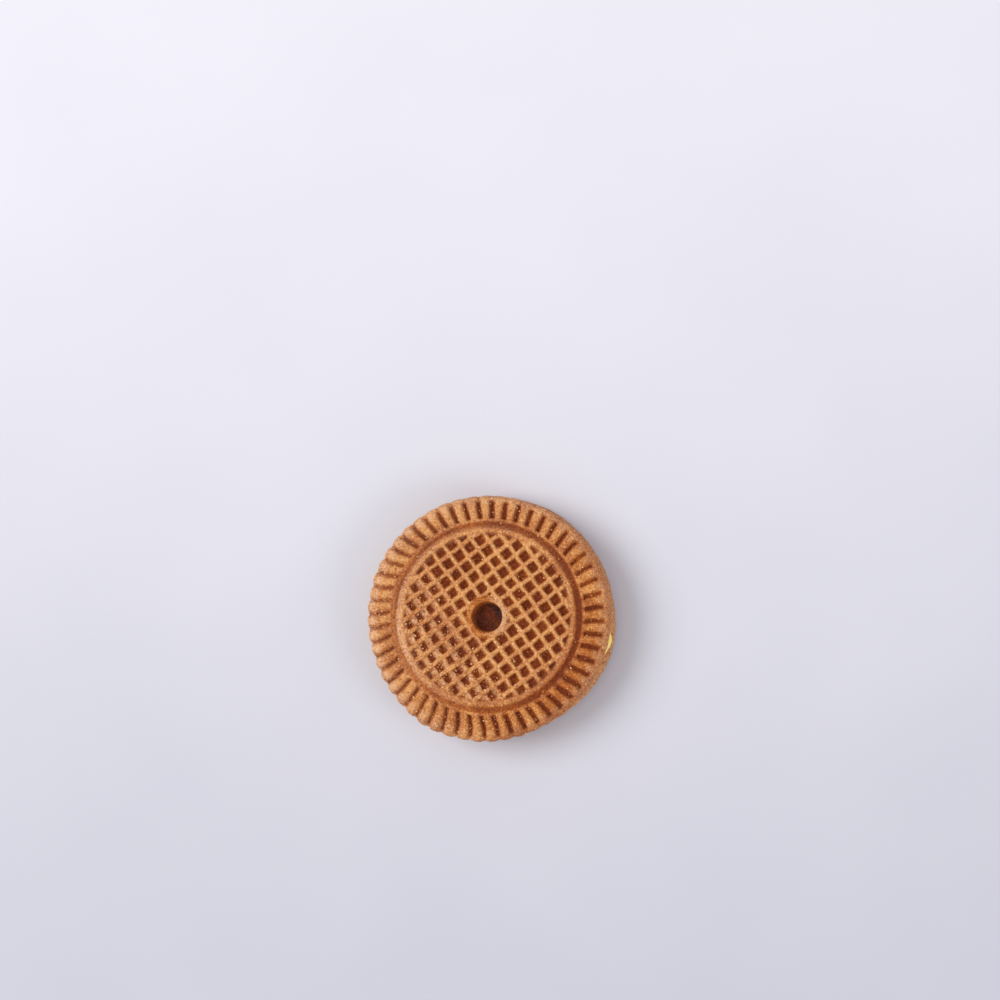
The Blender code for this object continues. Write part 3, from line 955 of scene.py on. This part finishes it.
def new_group(name, inputs, output, kind="Float"):
    """A shader node group with named inputs and one output, and the sockets at its two ends."""
    group = bpy.data.node_groups.new(name, "ShaderNodeTree")
    for label, value in inputs.items():
        is_number = isinstance(value, float)
        socket_type = "NodeSocketFloat" if is_number else "NodeSocketColor"
        socket = group.interface.new_socket(name=label, in_out="INPUT", socket_type=socket_type)
        socket.default_value = value
    group.interface.new_socket(name=output, in_out="OUTPUT", socket_type="NodeSocket" + kind)
    given = group.nodes.new("NodeGroupInput").outputs
    return group, given, group.nodes.new("NodeGroupOutput").inputs[output]


def placed(tree, name, inputs):
    """The output of a node group that is placed in a material with its own values."""
    group = bpy.data.node_groups[name]
    return add_node(tree, "ShaderNodeGroup", inputs, node_tree=group).outputs[0]


def browning_and_hollow_shade_group():
    """Colour of baked dough: golden on the crests, browner on the flanks, dark where sunk, the dark
    being baking and painted shade of the hollows.
    """
    inputs = {"Sunk": 0.0, "Crest": CREST, "Flank": FLANK, "Pit": PIT, "Burnt_and_shaded": BURNT_AND_SHADED}
    inputs["Mottle"] = 1.15
    group, given, result = new_group("browning_and_hollow_shade", inputs, "Color", "Color")
    place = object_place(group)
    blotches = maths(group, "SUBTRACT", noise_at(group, place, 5.0 * MM, 2.0), 0.5)
    flecks = maths(group, "SUBTRACT", noise_at(group, place, 0.45 * MM, 3.0, 0.6), 0.5)
    uneven = maths(group, "ADD", maths(group, "MULTIPLY", blotches, 0.8), flecks)
    uneven = maths(group, "MULTIPLY", uneven, given["Mottle"])
    browned = maths(group, "ADD", given["Sunk"], uneven)
    colour = given["Crest"]
    for darker, start, end in (("Flank", 0.0, 0.45), ("Pit", 0.35, 1.0), ("Burnt_and_shaded", 1.0, 1.7)):
        share = smooth_range(group, browned, start, end)
        colour = blended(group, share, colour, given[darker])
    tone = smooth_range(group, noise_at(group, place, 0.43 * MM, 3.0, 0.6), 0.3, 0.7)
    tone = blended(group, tone, TONE_LOW, TONE_HIGH)
    colour = blended(group, 1.0, colour, tone, "MULTIPLY")
    group.links.new(colour, result)


def speckle_group():
    """Mask of small round specks, such as pores, at scattered places."""
    inputs = {"Scale": 1000.0, "Share": 0.2, "Size": 0.25}
    group, given, result = new_group("speckle", inputs, "Mask")
    inputs = {"Vector": object_place(group), "Scale": given["Scale"]}
    cells = add_node(group, "ShaderNodeTexVoronoi", inputs)
    near = maths(group, "LESS_THAN", cells.outputs["Distance"], given["Size"])
    picked = add_node(group, "ShaderNodeSeparateColor", {"Color": cells.outputs["Color"]})
    chosen = maths(group, "LESS_THAN", picked.outputs["Red"], given["Share"])
    group.links.new(maths(group, "MULTIPLY", near, chosen), result)


def crumb_grain_group():
    """Height of the fine crumbly grain of baked dough, from 0 to 1."""
    group, given, result = new_group("crumb_grain", {"Scale": 1.0, "Lumps": 0.5}, "Height")
    inputs = {0: object_place(group), "Scale": given["Scale"]}
    place = add_node(group, "ShaderNodeVectorMath", inputs, operation="SCALE").outputs[0]
    fine = noise_at(group, place, 0.22 * MM, 4.0, 0.7)
    inputs = {"Vector": place, "Scale": 1.0 / (0.5 * MM)}
    cells = add_node(group, "ShaderNodeTexVoronoi", inputs, feature="SMOOTH_F1")
    lumps = maths(group, "MULTIPLY", cells.outputs["Distance"], given["Lumps"])
    group.links.new(maths(group, "SUBTRACT", fine, lumps), result)


def dust_and_sheen_group():
    """Mask of fine flour and painted sheen that lie in patches, more where the amount is larger."""
    group, given, result = new_group("dust_and_sheen_patches", {"Amount": 0.5, "Size": MM}, "Mask")
    inputs = {0: object_place(group), 1: given["Size"]}
    place = add_node(group, "ShaderNodeVectorMath", inputs, operation="DIVIDE")
    cloud = noise_at(group, place.outputs[0], 1.0, 3.0, 0.6)
    mask = maths(group, "MULTIPLY", smooth_range(group, cloud, 0.25, 0.75), given["Amount"], True)
    group.links.new(mask, result)


def new_material(name):
    """A material's tree and its Principled BSDF."""
    material = bpy.data.materials.new(name)
    material.use_nodes = True
    tree = material.node_tree
    shader = tree.nodes["Principled BSDF"]
    shader.inputs["Metallic"].default_value = 0.0
    return material, tree, shader


def bump(tree, height, distance):
    """Normal of a surface that a height roughens."""
    inputs = {"Height": height, "Distance": distance}
    return add_node(tree, "ShaderNodeBump", inputs).outputs["Normal"]


def attribute(tree, name):
    return add_node(tree, "ShaderNodeAttribute", attribute_name=name).outputs["Fac"]


# ---- materials


def baked_dough(name, crest):
    """Dough that is browner where it is sunk, in part painted shade, with flour and painted sheen,
    pores and painted glints.
    """
    material, tree, shader = new_material(name)
    sunk = attribute(tree, "sunk")
    colour = placed(tree, "browning_and_hollow_shade", {"Sunk": sunk, "Crest": crest})
    dust_and_sheen_amount = attribute(tree, "dust_and_sheen")
    dust_and_sheen = placed(tree, "dust_and_sheen_patches", {"Amount": dust_and_sheen_amount, "Size": 0.5 * MM})
    # flour, with painted sheen and highlights, mixed over the baked colour
    colour = blended(tree, dust_and_sheen, colour, DUST_AND_SHEEN_COLOUR)
    pores = placed(tree, "speckle", {"Scale": 900.0, "Share": 0.02, "Size": 0.24})
    colour = blended(tree, maths(tree, "MULTIPLY", pores, 0.7), colour, PORE_COLOUR)
    # painted glints: small pale spots on the crests
    flecks = placed(tree, "speckle", {"Scale": 1500.0, "Share": 0.20, "Size": 0.32})
    on_crest = maths(tree, "SUBTRACT", 0.6, sunk, clamp=True)
    colour = blended(tree, maths(tree, "MULTIPLY", flecks, on_crest), colour, PAINTED_GLINT_COLOUR)
    height = placed(tree, "crumb_grain", {"Scale": 0.6, "Lumps": 0.8})
    height = maths(tree, "SUBTRACT", height, maths(tree, "MULTIPLY", pores, 0.6))
    rough = smooth_range(tree, height, 0.0, 0.6, 0.60, 0.34)
    fill(tree, shader, {
        "Base Color": colour,
        "Roughness": maths(tree, "ADD", rough, maths(tree, "MULTIPLY", sunk, 0.4)),
        "Specular IOR Level": 0.20,
        "Normal": bump(tree, height, 0.30 * MM),
    })
    return material


def cream(name):
    """Soft cream with paler streaks and a few crumbs in it."""
    material, tree, shader = new_material(name)
    streaks = noise_at(tree, object_place(tree), 3.0 * MM)
    colour = blended(tree, streaks, CREAM_DEEP, CREAM_PALE)
    crumbs = placed(tree, "speckle", {"Scale": 900.0, "Share": 0.05, "Size": 0.2})
    height = placed(tree, "crumb_grain", {"Scale": 0.6, "Lumps": 0.3})
    fill(tree, shader, {
        "Base Color": blended(tree, maths(tree, "MULTIPLY", crumbs, 0.5), colour, CREST),
        "Roughness": smooth_range(tree, streaks, 0.3, 0.7, 0.42, 0.6),
        "Subsurface Weight": 0.10,
        "Subsurface Scale": 0.2 * MM,
        "Subsurface Radius": (1.0, 0.7, 0.25),
        "Normal": bump(tree, height, 0.03 * MM),
    })
    return material


def crumb(name):
    material, tree, shader = new_material(name)
    inputs = {"Sunk": attribute(tree, "sunk"), "Mottle": 0.4}
    inputs |= {"Crest": CRUMB_PALE, "Pit": CRUMB_DARK, "Burnt_and_shaded": CRUMB_DARK}
    colour = placed(tree, "browning_and_hollow_shade", inputs)
    height = placed(tree, "crumb_grain", {"Scale": 1.5, "Lumps": 0.4})
    normal = bump(tree, height, 0.05 * MM)
    fill(tree, shader, {"Base Color": colour, "Roughness": 0.6, "Normal": normal})
    return material


def sugar(name):
    material, tree, shader = new_material(name)
    cloud = noise_at(tree, object_place(tree), 0.1 * MM, 2.0)
    colour = blended(tree, cloud, SUGAR_AMBER, SUGAR_PALE)
    height = placed(tree, "crumb_grain", {"Scale": 2.0, "Lumps": 0.2})
    normal = bump(tree, height, 0.02 * MM)
    fill(tree, shader, {"Base Color": colour, "Roughness": 0.2, "Normal": normal})
    return material


def table_top(name):
    """Pale ground with a faint cloudiness, lighter towards the back, with a touch of painted light
    close to the cookie.
    """
    material, tree, shader = new_material(name)
    place = object_place(tree)
    parts = add_node(tree, "ShaderNodeSeparateXYZ", {"Vector": place})
    back = smooth_range(tree, parts.outputs["Y"], -0.11, 0.16)
    cloud = maths(tree, "MULTIPLY", noise_at(tree, place, 60 * MM, 2.0), 0.3)
    share = maths(tree, "ADD", back, maths(tree, "SUBTRACT", cloud, 0.15), clamp=True)
    colour = blended(tree, share, FLOOR_NEAR, FLOOR_FAR)
    away = add_node(tree, "ShaderNodeVectorMath", {"Vector": place}, operation="LENGTH")
    # painted light: the ground is a touch lighter close to the cookie, against its shadow
    tone = smooth_range(tree, away.outputs["Value"], 0.03, 0.11, 1.02, 1.0)
    colour = blended(tree, 1.0, colour, tone, "MULTIPLY")
    fill(tree, shader, {"Base Color": colour, "Roughness": 0.6})
    return material


# ---- stage, light and camera


def floor(material):
    mesh = bpy.data.meshes.new("ground")
    worked = bmesh.new()
    bmesh.ops.create_grid(worked, x_segments=8, y_segments=8, size=FLOOR_HALF)
    worked.to_mesh(mesh)
    worked.free()
    mesh.materials.append(material)
    ground = bpy.data.objects.new("ground", mesh)
    bpy.context.scene.collection.objects.link(ground)


def soft_light(name, place, size, power, colour):
    data = bpy.data.lights.new(name, "AREA")
    data.shape = "DISK"
    data.size = size
    data.energy = power
    data.color = colour
    light = bpy.data.objects.new(name, data)
    light.location = place
    light.rotation_mode = "QUATERNION"
    light.rotation_quaternion = (LIGHTS_AIM - Vector(place)).to_track_quat("-Z", "Y")
    bpy.context.scene.collection.objects.link(light)


def surroundings(colour, strength):
    world = bpy.data.worlds.new("studio")
    world.use_nodes = True
    background = world.node_tree.nodes["Background"]
    background.inputs["Color"].default_value = colour
    background.inputs["Strength"].default_value = strength
    bpy.context.scene.world = world


def camera():
    """Camera at the photograph's angle, with the well on its own pixel of the picture."""
    data = bpy.data.cameras.new("camera")
    data.lens = LENS
    data.sensor_width = SENSOR
    back = Vector((
        math.sin(VIEW_TILT) * math.cos(VIEW_SIDE),
        math.sin(VIEW_TILT) * math.sin(VIEW_SIDE),
        math.cos(VIEW_TILT),
    ))
    right = Vector((0.0, 1.0, 0.0)).cross(back).normalized()
    up = back.cross(right)
    middle = IMAGE_SIZE / 2
    well_right = (WELL_PIXEL[0] - middle) / PIXELS_PER_MM * MM
    well_up = (middle - WELL_PIXEL[1]) / PIXELS_PER_MM * MM
    distance = LENS / SENSOR * IMAGE_SIZE / PIXELS_PER_MM * MM
    well_top = Vector((0.0, 0.0, UPPER_HIGH.z))
    place = well_top + back * distance - right * well_right - up * well_up
    data.clip_start = 0.1
    data.clip_end = 10.0
    eye = bpy.data.objects.new("camera", data)
    turn = Matrix((right, up, back)).transposed().to_4x4()
    eye.matrix_world = Matrix.Translation(place) @ turn
    bpy.context.scene.collection.objects.link(eye)
    bpy.context.scene.camera = eye


# ---- the whole scene


def main():
    scene = bpy.context.scene
    scene.view_settings.view_transform = "Standard"
    browning_and_hollow_shade_group()
    speckle_group()
    crumb_grain_group()
    dust_and_sheen_group()
    dough = baked_dough("golden_biscuit", CREST)
    # the lower biscuit's dough is a darker copy: painted shade
    dough_under_shaded = baked_dough("golden_biscuit_under_shaded", UNDER_CREST_SHADED)
    pumpkin_cream = cream("pumpkin_cream")
    loose_crumb = crumb("loose_crumb")
    sugar_grain = sugar("sugar_grain")

    lift = Matrix.Translation((0.0, 0.0, UPPER_LOW.z))
    upper = biscuit("upper_biscuit", UPPER_MOULD, dough, lift)
    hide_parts("biscuit_top")

    flip = Matrix.Translation((*UNDER_SHIFT, BISCUIT_HEIGHT))
    flip = flip @ Matrix.Rotation(UNDER_TURN, 4, "Z") @ Matrix.Rotation(math.pi, 4, "X")
    lower = biscuit("lower_biscuit", LOWER_MOULD, dough_under_shaded, flip)
    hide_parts("biscuit_bottom")

    layer = cream_layer("cream_layer", pumpkin_cream)
    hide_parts("cream_filling")

    crumbs = strewn(CRUMBS, upper, UPPER_MOULD, crumbs_likely, loose_crumb)
    grains = strewn(SUGAR, upper, UPPER_MOULD, sugar_likely, sugar_grain)

    for piece in (upper, lower, layer, crumbs, grains):
        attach(piece, "root")

    floor(table_top("pale_ground"))
    soft_light("key_light", (-1.38, 0.32, 1.60), 1.5, 30.0, (1.0, 0.985, 0.96))
    soft_light("fill_light", (1.55, -0.75, 1.25), 1.0, 10.0, (1.0, 0.99, 0.97))
    surroundings((0.95, 0.96, 1.0, 1.0), 0.66)
    camera()


main()
